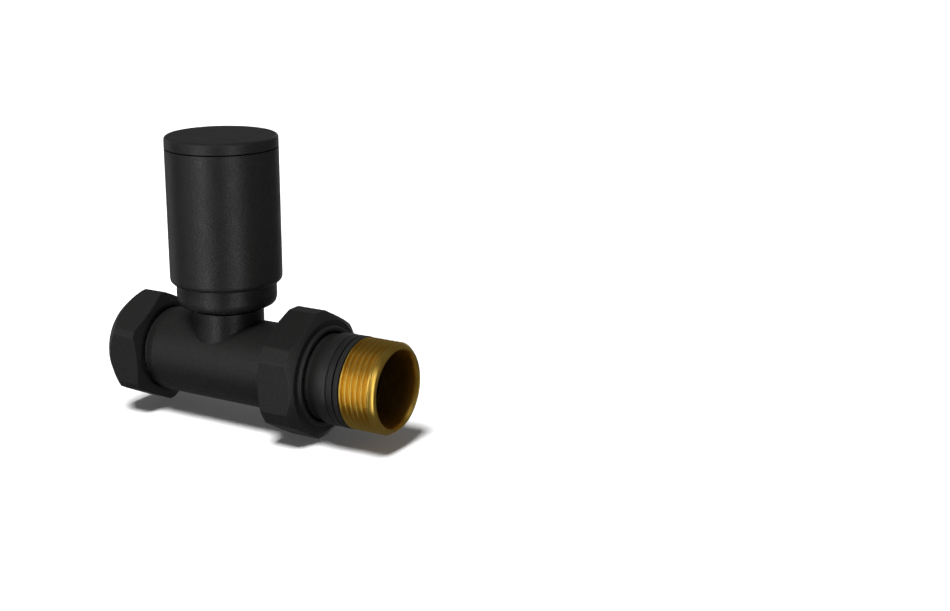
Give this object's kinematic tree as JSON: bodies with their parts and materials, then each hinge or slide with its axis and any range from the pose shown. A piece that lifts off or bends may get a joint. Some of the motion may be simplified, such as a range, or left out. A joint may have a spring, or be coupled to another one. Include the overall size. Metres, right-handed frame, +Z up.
{
  "type": "lockshield valve",
  "caption": "Straight lockshield radiator valve: black coated brass body with compression pipe end, union nut, threaded brass tail and a tall plain cover cap over the adjusting spindle.",
  "frame": {"origin": "where the pipe axis crosses the spindle axis, inside the body", "axes": "+X along the pipe axis towards the radiator tail, +Z up the spindle axis towards the cap"},
  "size_m": [0.0745, 0.0276, 0.0676],
  "materials": {
    "black_coating": "fine orange-peel powder coat, satin",
    "bare_brass": "machined, semi-bright",
    "black_rubber": "smooth matte",
    "white_nylon": "moulded natural nylon",
    "fibre_washer": "black pressed fibre, matte",
    "screw_steel": "zinc plated"
  },
  "bodies": {
    "valve_body": {"valve_body": "black_coating", "bonnet": "bare_brass", "bonnet_seal": "fibre_washer", "cap_base_collar": "black_coating", "gland_nut": "bare_brass", "gland_packing": "white_nylon", "union_seal": "black_rubber"},
    "plug": {"plug": "bare_brass", "plug_washer": "black_rubber", "washer_screw": "bare_brass"},
    "spindle": {"spindle": "bare_brass", "spindle_seal_lower": "black_rubber", "spindle_seal_upper": "black_rubber"},
    "cap_carrier": {"cap_liner": "white_nylon", "cap_grip_ring": "black_rubber"},
    "cap": {"cap_sleeve": "black_coating", "cap_screw": "screw_steel", "cap_screw_washer": "screw_steel"},
    "cap_disc": {"cap_disc": "black_coating"},
    "olive": {"olive": "bare_brass"},
    "compression_nut": {"compression_nut": "black_coating"},
    "tail": {"radiator_tail": "bare_brass", "tail_seal_ring": "black_rubber"},
    "union_nut": {"union_nut": "black_coating"}
  },
  "joints": [
    {"name": "plug_lift", "type": "slide", "parent": "valve_body", "child": "plug", "axis": [0, 0, 1], "range_m": [0, 0.004]},
    {"name": "spindle_turn", "type": "hinge", "parent": "plug", "child": "spindle", "pos_m": [0, 0, 0.02], "axis": [0, 0, 1], "range_deg": [0, 1441]},
    {"name": "cap_pull", "type": "slide", "parent": "valve_body", "child": "cap_carrier", "axis": [0, 0, 1], "range_m": [0, 0.028]},
    {"name": "cap_spin", "type": "hinge", "parent": "cap_carrier", "child": "cap", "pos_m": [0, 0, 0.035], "axis": [0, 0, 1], "continuous": true},
    {"name": "disc_lift", "type": "slide", "parent": "cap", "child": "cap_disc", "axis": [0, 0, 1], "range_m": [0, 0.006]},
    {"name": "olive_shift", "type": "slide", "parent": "valve_body", "child": "olive", "axis": [-1, 0, 0], "range_m": [0, 0.0062]},
    {"name": "compression_nut_turn", "type": "hinge", "parent": "olive", "child": "compression_nut", "pos_m": [-0.0223, 0, 0], "axis": [-1, 0, 0], "range_deg": [0, 1440]},
    {"name": "tail_shift", "type": "slide", "parent": "valve_body", "child": "tail", "axis": [1, 0, 0], "range_m": [0, 0.0077]},
    {"name": "union_nut_turn", "type": "hinge", "parent": "tail", "child": "union_nut", "pos_m": [0.0232, 0, 0], "axis": [1, 0, 0], "range_deg": [0, 1800]}
  ],
  "couplings": [
    {"joint": "spindle_turn", "follows": "plug_lift", "rad_per_m": 6283.2},
    {"joint": "olive_shift", "follows": "compression_nut_turn", "m_per_rad": 0.00023873},
    {"joint": "tail_shift", "follows": "union_nut_turn", "m_per_rad": 0.00023873}
  ]
}
